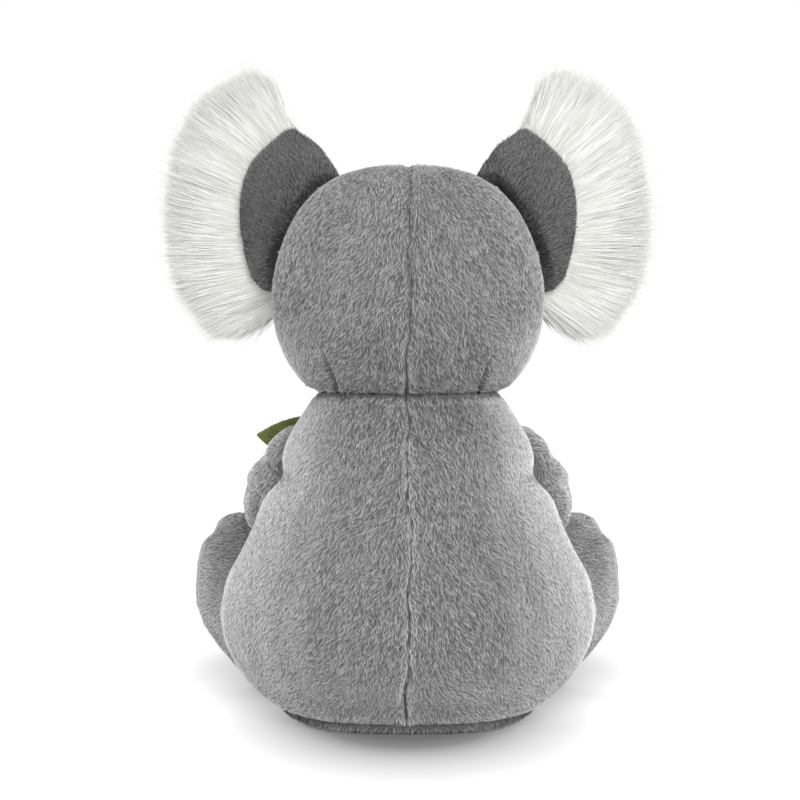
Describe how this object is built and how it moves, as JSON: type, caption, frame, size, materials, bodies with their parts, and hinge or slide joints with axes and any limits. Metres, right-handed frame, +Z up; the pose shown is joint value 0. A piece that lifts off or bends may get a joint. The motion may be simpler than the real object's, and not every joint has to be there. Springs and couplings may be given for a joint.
{
  "type": "plush koala",
  "caption": "Seated grey plush koala with long-furred white ears, a sewn centre-back seam, stuffed limbs and a felt leaf sprig in its paw.",
  "frame": {"origin": "middle of the flat seat that the toy sits on, on the floor", "axes": "+Z up, -Y the way the toy faces, +X the toy's left"},
  "size_m": [0.2074, 0.1637, 0.2738],
  "materials": {
    "grey_plush": "short grey plush pile",
    "ear_plush": "short darker grey plush pile",
    "seat_plush": "short grey plush pile",
    "pale_plush": "short off-white plush pile",
    "sole_plush": "short light grey plush pile",
    "long_fur": "long white fur",
    "fibre": "loose fibre stuffing",
    "pouch_cotton": "plain woven cotton",
    "nose_velour": "short velour",
    "eye_plastic": "glossy moulded plastic",
    "washer_plastic": "matt moulded plastic",
    "leaf_felt": "felt",
    "stem_felt": "felt"
  },
  "bodies": {
    "body": {"back_panel_left": "grey_plush", "back_panel_right": "grey_plush", "belly_panel": "pale_plush", "seat_panel": "seat_plush", "body_stuffing": "fibre", "pellet_pouch": "pouch_cotton"},
    "head": {"head_back_left": "grey_plush", "head_back_right": "grey_plush", "face_panel": "grey_plush", "head_stuffing": "fibre", "nose": "nose_velour", "eye_left": "eye_plastic", "eye_right": "eye_plastic", "eye_washer_left": "washer_plastic", "eye_washer_right": "washer_plastic"},
    "ear_left": {"ear_back_left": "ear_plush", "ear_fur_left": "long_fur"},
    "ear_right": {"ear_back_right": "ear_plush", "ear_fur_right": "long_fur"},
    "arm_left": {"arm_cover_left": "grey_plush", "arm_stuffing_left": "fibre", "sprig_stem": "stem_felt", "leaf_outer": "leaf_felt", "leaf_inner": "leaf_felt", "leaf_tip": "leaf_felt"},
    "arm_right": {"arm_cover_right": "grey_plush", "arm_stuffing_right": "fibre"},
    "leg_left": {"leg_cover_left": "grey_plush", "sole_pad_left": "sole_plush", "leg_stuffing_left": "fibre"},
    "leg_right": {"leg_cover_right": "grey_plush", "sole_pad_right": "sole_plush", "leg_stuffing_right": "fibre"}
  },
  "joints": [
    {"name": "neck_twist", "type": "hinge", "parent": "body", "child": "head", "pos_m": [0, 0, 0.137], "axis": [0, 0, 1], "range_deg": [-20, 20], "stiffness_Nm_per_rad": 0.15},
    {"name": "ear_left_fold", "type": "hinge", "parent": "head", "child": "ear_left", "pos_m": [0.051, -0.005, 0.2035], "axis": [0.4695, 0, -0.8829], "range_deg": [-12, 20], "stiffness_Nm_per_rad": 0.06},
    {"name": "ear_right_fold", "type": "hinge", "parent": "head", "child": "ear_right", "pos_m": [-0.051, -0.005, 0.2035], "axis": [0.4695, 0, 0.8829], "range_deg": [-12, 20], "stiffness_Nm_per_rad": 0.06},
    {"name": "arm_left_swing", "type": "hinge", "parent": "body", "child": "arm_left", "pos_m": [0.048, 0.007, 0.112], "axis": [-0.5736, 0, 0.8192], "range_deg": [0, 30], "stiffness_Nm_per_rad": 0.05},
    {"name": "arm_right_swing", "type": "hinge", "parent": "body", "child": "arm_right", "pos_m": [-0.048, 0.007, 0.112], "axis": [-0.5736, 0, -0.8192], "range_deg": [0, 30], "stiffness_Nm_per_rad": 0.05},
    {"name": "leg_left_lift", "type": "hinge", "parent": "body", "child": "leg_left", "pos_m": [0.032, -0.06, 0.05], "axis": [-0.8572, -0.515, 0], "range_deg": [0, 15], "stiffness_Nm_per_rad": 0.1},
    {"name": "leg_right_lift", "type": "hinge", "parent": "body", "child": "leg_right", "pos_m": [-0.032, -0.06, 0.05], "axis": [-0.8572, 0.515, 0], "range_deg": [0, 15], "stiffness_Nm_per_rad": 0.1}
  ]
}
